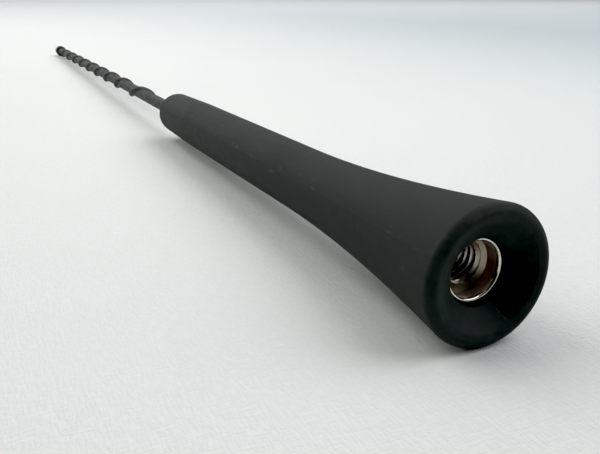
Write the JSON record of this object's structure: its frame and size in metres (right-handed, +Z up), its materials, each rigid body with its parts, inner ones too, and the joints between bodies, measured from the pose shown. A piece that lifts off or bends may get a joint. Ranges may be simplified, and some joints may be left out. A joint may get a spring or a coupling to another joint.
{
  "type": "car mast aerial",
  "caption": "Short roof aerial mast for a car: a thin black rod with a spiral ridge and a rounded tip, set in a long rubber boot with a flared end and a plated threaded socket.",
  "frame": {"origin": "on the surface that the mast lies on, under the middle of its bounding box", "axes": "+Y along the mast from the flared end to the tip, +Z up, +X to the right of a viewer who looks into the flared end"},
  "size_m": [0.018, 0.4, 0.0179],
  "materials": {
    "boot_rubber": "matt moulded rubber, slightly greyed",
    "plated_socket": "bright nickel plating on brass",
    "cable_steel": "stranded steel, modelled plain",
    "collar_brass": "plain turned",
    "rod_steel": "drawn steel",
    "sleeve_plastic": "satin black",
    "cap_plastic": "satin black"
  },
  "bodies": {
    "root": {"rubber_boot": "boot_rubber", "threaded_socket": "plated_socket", "flex_cable": "cable_steel", "rod_collar": "collar_brass", "core_rod": "rod_steel", "mast_sleeve": "sleeve_plastic", "tip_cap": "cap_plastic"}
  },
  "joints": []
}
